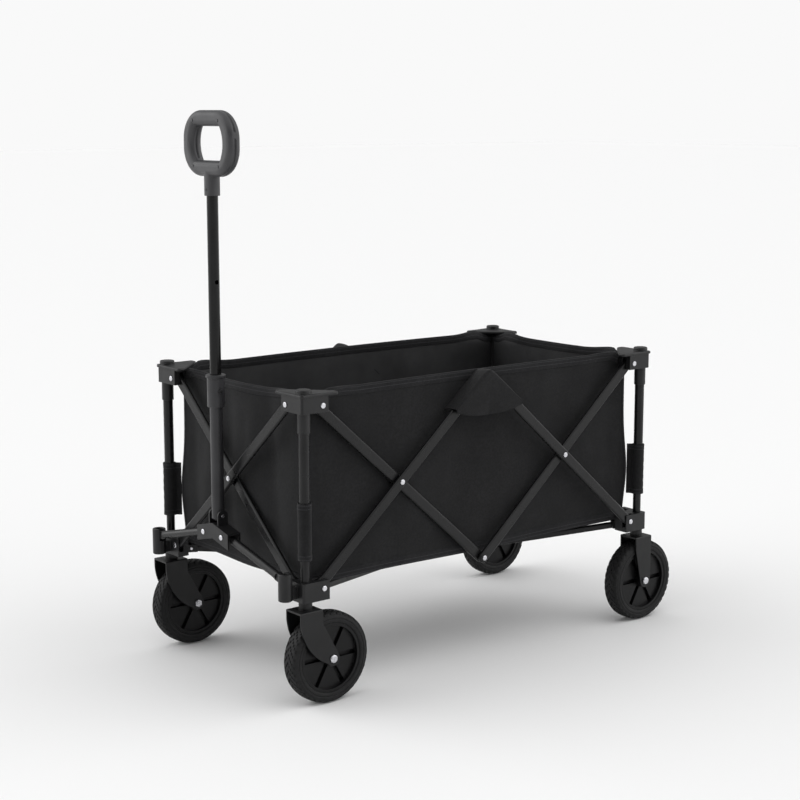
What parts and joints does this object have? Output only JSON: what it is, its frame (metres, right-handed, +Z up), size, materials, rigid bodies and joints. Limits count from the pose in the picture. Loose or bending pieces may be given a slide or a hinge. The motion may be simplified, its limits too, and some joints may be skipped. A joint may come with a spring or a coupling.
{
  "type": "folding camp wagon",
  "caption": "Folding four-wheel camp wagon with a scissor steel frame, an open cloth basket, front casters and an upright telescoping pull handle with a ring grip.",
  "frame": {"origin": "middle of the opened wagon's footprint, on the floor", "axes": "+Z up, -X towards the handle end, +Y towards the right side"},
  "size_m": [1.052, 0.532, 1.114],
  "materials": {
    "moulded_block": "satin moulded nylon",
    "coated_tube": "satin powder coat",
    "coated_fork": "satin powder coat on pressed steel",
    "zinc_fastener": "bright zinc plate",
    "wheel_plastic": "satin moulded polypropylene",
    "tyre_rubber": "matt moulded elastomer",
    "basket_cloth": "matt woven polyester",
    "gloss_tube": "gloss powder coat",
    "grip_plastic": "satin moulded plastic"
  },
  "bodies": {
    "post_base_front_left": {"bottom_bracket_front_left": "moulded_block", "lower_post_front_left": "coated_tube", "basket_side_left": "basket_cloth", "basket_floor": "basket_cloth"},
    "post_top_front_left": {"top_cap_front_left": "moulded_block", "upper_post_front_left": "coated_tube"},
    "caster_front_left": {"wheel_fork_front_left": "coated_fork", "axle_bolt_front_left": "zinc_fastener"},
    "wheel_front_left": {"wheel_rim_front_left": "wheel_plastic", "tyre_front_left": "tyre_rubber"},
    "arm_front_left": {"floor_arm_front_left": "coated_tube"},
    "post_base_front_right": {"bottom_bracket_front_right": "moulded_block", "lower_post_front_right": "coated_tube", "basket_front": "basket_cloth"},
    "post_top_front_right": {"top_cap_front_right": "moulded_block", "upper_post_front_right": "coated_tube"},
    "caster_front_right": {"wheel_fork_front_right": "coated_fork", "axle_bolt_front_right": "zinc_fastener"},
    "wheel_front_right": {"wheel_rim_front_right": "wheel_plastic", "tyre_front_right": "tyre_rubber"},
    "arm_front_right": {"floor_arm_front_right": "coated_tube"},
    "post_base_rear_left": {"bottom_bracket_rear_left": "moulded_block", "lower_post_rear_left": "coated_tube", "wheel_fork_rear_left": "coated_fork", "axle_bolt_rear_left": "zinc_fastener", "basket_rear": "basket_cloth"},
    "post_top_rear_left": {"top_cap_rear_left": "moulded_block", "upper_post_rear_left": "coated_tube"},
    "wheel_rear_left": {"wheel_rim_rear_left": "wheel_plastic", "tyre_rear_left": "tyre_rubber"},
    "arm_rear_left": {"floor_arm_rear_left": "coated_tube"},
    "post_base_rear_right": {"bottom_bracket_rear_right": "moulded_block", "lower_post_rear_right": "coated_tube", "wheel_fork_rear_right": "coated_fork", "axle_bolt_rear_right": "zinc_fastener", "basket_side_right": "basket_cloth"},
    "post_top_rear_right": {"top_cap_rear_right": "moulded_block", "upper_post_rear_right": "coated_tube"},
    "wheel_rear_right": {"wheel_rim_rear_right": "wheel_plastic", "tyre_rear_right": "tyre_rubber"},
    "arm_rear_right": {"floor_arm_rear_right": "coated_tube"},
    "side_left_front_rise": {"side_bar_left_front_rise": "coated_tube"},
    "side_left_front_fall": {"side_bar_left_front_fall": "coated_tube"},
    "side_left_rear_rise": {"side_bar_left_rear_rise": "coated_tube"},
    "side_left_rear_fall": {"side_bar_left_rear_fall": "coated_tube"},
    "link_left": {"front_link_left": "coated_tube"},
    "side_right_front_rise": {"side_bar_right_front_rise": "coated_tube"},
    "side_right_front_fall": {"side_bar_right_front_fall": "coated_tube"},
    "side_right_rear_rise": {"side_bar_right_rear_rise": "coated_tube"},
    "side_right_rear_fall": {"side_bar_right_rear_fall": "coated_tube"},
    "link_right": {"front_link_right": "coated_tube"},
    "end_front_rise": {"end_bar_front_rise": "coated_tube"},
    "end_front_fall": {"end_bar_front_fall": "coated_tube"},
    "end_rear_rise": {"end_bar_rear_rise": "coated_tube"},
    "end_rear_fall": {"end_bar_rear_fall": "coated_tube"},
    "hub": {"handle_hub": "moulded_block"},
    "handle_lower": {"handle_lower_tube": "coated_tube"},
    "button": {"lock_button": "moulded_block"},
    "handle_upper": {"handle_upper_tube": "gloss_tube", "handle_grip": "grip_plastic"}
  },
  "joints": [
    {"name": "fold", "type": "hinge", "parent": "post_base_front_left", "child": "side_left_front_rise", "pos_m": [-0.436, -0.238, 0.227], "axis": [0, -1, 0], "range_deg": [0, 36.9], "deforming": ["basket_side_left", "basket_side_right", "basket_front", "basket_rear", "basket_floor"]},
    {"name": "left_front_bar_cross", "type": "hinge", "parent": "side_left_front_rise", "child": "side_left_front_fall", "pos_m": [-0.236, -0.238, 0.4015], "axis": [0, -1, 0], "range_deg": [-73.81, 0]},
    {"name": "left_top_middle", "type": "hinge", "parent": "side_left_front_rise", "child": "side_left_rear_rise", "pos_m": [-0.02, -0.238, 0.58996], "axis": [0, -1, 0], "range_deg": [-73.81, 0]},
    {"name": "left_rear_bar_cross", "type": "hinge", "parent": "side_left_rear_rise", "child": "side_left_rear_fall", "pos_m": [0.196, -0.238, 0.4015], "axis": [0, -1, 0], "range_deg": [0, 73.81]},
    {"name": "left_rear_bar_foot", "type": "hinge", "parent": "side_left_rear_rise", "child": "post_base_rear_left", "pos_m": [0.396, -0.238, 0.227], "axis": [0, -1, 0], "range_deg": [0, 36.92]},
    {"name": "left_rear_bar_head", "type": "hinge", "parent": "side_left_rear_fall", "child": "post_top_rear_left", "pos_m": [0.396, -0.238, 0.576], "axis": [0, -1, 0], "range_deg": [-36.92, 0]},
    {"name": "left_front_bar_head", "type": "hinge", "parent": "side_left_front_fall", "child": "post_top_front_left", "pos_m": [-0.436, -0.238, 0.576], "axis": [0, -1, 0], "range_deg": [0, 36.92]},
    {"name": "front_end_bar_foot", "type": "hinge", "parent": "post_base_front_left", "child": "end_front_rise", "pos_m": [-0.47, -0.2, 0.227], "axis": [1, 0, 0], "range_deg": [0, 36.92]},
    {"name": "front_end_bar_cross", "type": "hinge", "parent": "end_front_rise", "child": "end_front_fall", "pos_m": [-0.47, 0, 0.4015], "axis": [1, 0, 0], "range_deg": [-73.81, 0]},
    {"name": "front_end_bar_head", "type": "hinge", "parent": "end_front_rise", "child": "post_top_front_right", "pos_m": [-0.47, 0.2, 0.576], "axis": [1, 0, 0], "range_deg": [-36.92, 0]},
    {"name": "front_end_bar_right_foot", "type": "hinge", "parent": "end_front_fall", "child": "post_base_front_right", "pos_m": [-0.47, 0.2, 0.227], "axis": [1, 0, 0], "range_deg": [0, 36.92]},
    {"name": "right_front_bar_foot", "type": "hinge", "parent": "post_base_front_right", "child": "side_right_front_rise", "pos_m": [-0.436, 0.238, 0.227], "axis": [0, -1, 0], "range_deg": [0, 36.92]},
    {"name": "right_front_bar_cross", "type": "hinge", "parent": "side_right_front_rise", "child": "side_right_front_fall", "pos_m": [-0.236, 0.238, 0.4015], "axis": [0, -1, 0], "range_deg": [-73.81, 0]},
    {"name": "right_top_middle", "type": "hinge", "parent": "side_right_front_rise", "child": "side_right_rear_rise", "pos_m": [-0.02, 0.238, 0.58996], "axis": [0, -1, 0], "range_deg": [-73.81, 0]},
    {"name": "right_rear_bar_cross", "type": "hinge", "parent": "side_right_rear_rise", "child": "side_right_rear_fall", "pos_m": [0.196, 0.238, 0.4015], "axis": [0, -1, 0], "range_deg": [0, 73.81]},
    {"name": "right_rear_bar_foot", "type": "hinge", "parent": "side_right_rear_rise", "child": "post_base_rear_right", "pos_m": [0.396, 0.238, 0.227], "axis": [0, -1, 0], "range_deg": [0, 36.92]},
    {"name": "right_rear_bar_head", "type": "hinge", "parent": "side_right_rear_fall", "child": "post_top_rear_right", "pos_m": [0.396, 0.238, 0.576], "axis": [0, -1, 0], "range_deg": [-36.92, 0]},
    {"name": "rear_end_bar_foot", "type": "hinge", "parent": "post_base_rear_left", "child": "end_rear_rise", "pos_m": [0.43, -0.2, 0.227], "axis": [1, 0, 0], "range_deg": [0, 36.92]},
    {"name": "rear_end_bar_cross", "type": "hinge", "parent": "end_rear_rise", "child": "end_rear_fall", "pos_m": [0.43, 0, 0.4015], "axis": [1, 0, 0], "range_deg": [-73.81, 0]},
    {"name": "left_link_knuckle", "type": "hinge", "parent": "post_base_front_left", "child": "link_left", "pos_m": [-0.5065, -0.225, 0.247], "axis": [1, 0, 0], "range_deg": [0, 62.03]},
    {"name": "right_link_knuckle", "type": "hinge", "parent": "post_base_front_right", "child": "link_right", "pos_m": [-0.5065, 0.225, 0.247], "axis": [1, 0, 0], "range_deg": [-62.03, 0]},
    {"name": "hub_on_left_link", "type": "hinge", "parent": "link_left", "child": "hub", "pos_m": [-0.5065, -0.032, 0.295], "axis": [1, 0, 0], "range_deg": [-62.03, 0]},
    {"name": "arm_front_left_lift", "type": "hinge", "parent": "post_base_front_left", "child": "arm_front_left", "pos_m": [-0.44, -0.209, 0.213], "axis": [0.4455, -0.8953, 0], "range_deg": [0, 78.85]},
    {"name": "arm_front_right_lift", "type": "hinge", "parent": "post_base_front_right", "child": "arm_front_right", "pos_m": [-0.44, 0.209, 0.213], "axis": [-0.4455, -0.8953, 0], "range_deg": [0, 78.85]},
    {"name": "arm_rear_left_lift", "type": "hinge", "parent": "post_base_rear_left", "child": "arm_rear_left", "pos_m": [0.4, -0.209, 0.213], "axis": [0.4455, 0.8953, 0], "range_deg": [0, 78.85]},
    {"name": "arm_rear_right_lift", "type": "hinge", "parent": "post_base_rear_right", "child": "arm_rear_right", "pos_m": [0.4, 0.209, 0.213], "axis": [-0.4455, 0.8953, 0], "range_deg": [0, 78.85]},
    {"name": "front_left_swivel", "type": "hinge", "parent": "post_base_front_left", "child": "caster_front_left", "pos_m": [-0.47, -0.238, 0.204], "axis": [0, 0, 1], "continuous": true},
    {"name": "front_left_wheel_spin", "type": "hinge", "parent": "caster_front_left", "child": "wheel_front_left", "pos_m": [-0.423, -0.238, 0.089], "axis": [0, 1, 0], "continuous": true},
    {"name": "front_right_swivel", "type": "hinge", "parent": "post_base_front_right", "child": "caster_front_right", "pos_m": [-0.47, 0.238, 0.204], "axis": [0, 0, 1], "continuous": true},
    {"name": "front_right_wheel_spin", "type": "hinge", "parent": "caster_front_right", "child": "wheel_front_right", "pos_m": [-0.423, 0.238, 0.089], "axis": [0, 1, 0], "continuous": true},
    {"name": "rear_left_wheel_spin", "type": "hinge", "parent": "post_base_rear_left", "child": "wheel_rear_left", "pos_m": [0.437, -0.238, 0.089], "axis": [0, 1, 0], "continuous": true},
    {"name": "rear_right_wheel_spin", "type": "hinge", "parent": "post_base_rear_right", "child": "wheel_rear_right", "pos_m": [0.437, 0.238, 0.089], "axis": [0, 1, 0], "continuous": true},
    {"name": "handle_tilt", "type": "hinge", "parent": "hub", "child": "handle_lower", "pos_m": [-0.5065, 0, 0.33296], "axis": [0, -1, 0], "range_deg": [0, 90]},
    {"name": "handle_slide", "type": "slide", "parent": "handle_lower", "child": "handle_upper", "axis": [0, 0, -1], "range_m": [0, 0.21]},
    {"name": "lock_button_press", "type": "slide", "parent": "handle_lower", "child": "button", "axis": [0, 1, 0], "range_m": [0, 0.002], "stiffness_N_per_m": 600, "springref_m": -0.001}
  ],
  "couplings": [
    {"joint": "left_front_bar_cross", "follows": "fold", "ratio": -2},
    {"joint": "left_top_middle", "follows": "fold", "ratio": -2},
    {"joint": "left_rear_bar_cross", "follows": "fold", "ratio": 2},
    {"joint": "left_rear_bar_foot", "follows": "fold", "ratio": 1},
    {"joint": "left_rear_bar_head", "follows": "fold", "ratio": -1},
    {"joint": "left_front_bar_head", "follows": "fold", "ratio": 1},
    {"joint": "front_end_bar_foot", "follows": "fold", "ratio": 1},
    {"joint": "front_end_bar_cross", "follows": "fold", "ratio": -2},
    {"joint": "front_end_bar_head", "follows": "fold", "ratio": -1},
    {"joint": "front_end_bar_right_foot", "follows": "fold", "ratio": 1},
    {"joint": "right_front_bar_foot", "follows": "fold", "ratio": 1},
    {"joint": "right_front_bar_cross", "follows": "fold", "ratio": -2},
    {"joint": "right_top_middle", "follows": "fold", "ratio": -2},
    {"joint": "right_rear_bar_cross", "follows": "fold", "ratio": 2},
    {"joint": "right_rear_bar_foot", "follows": "fold", "ratio": 1},
    {"joint": "right_rear_bar_head", "follows": "fold", "ratio": -1},
    {"joint": "rear_end_bar_foot", "follows": "fold", "ratio": 1},
    {"joint": "rear_end_bar_cross", "follows": "fold", "ratio": -2},
    {"joint": "left_link_knuckle", "follows": "fold", "ratio": 1.6808},
    {"joint": "right_link_knuckle", "follows": "fold", "ratio": -1.6808},
    {"joint": "hub_on_left_link", "follows": "fold", "ratio": -1.6808},
    {"joint": "arm_front_left_lift", "follows": "fold", "ratio": 2.1366},
    {"joint": "arm_front_right_lift", "follows": "fold", "ratio": 2.1366},
    {"joint": "arm_rear_left_lift", "follows": "fold", "ratio": 2.1366},
    {"joint": "arm_rear_right_lift", "follows": "fold", "ratio": 2.1366}
  ]
}
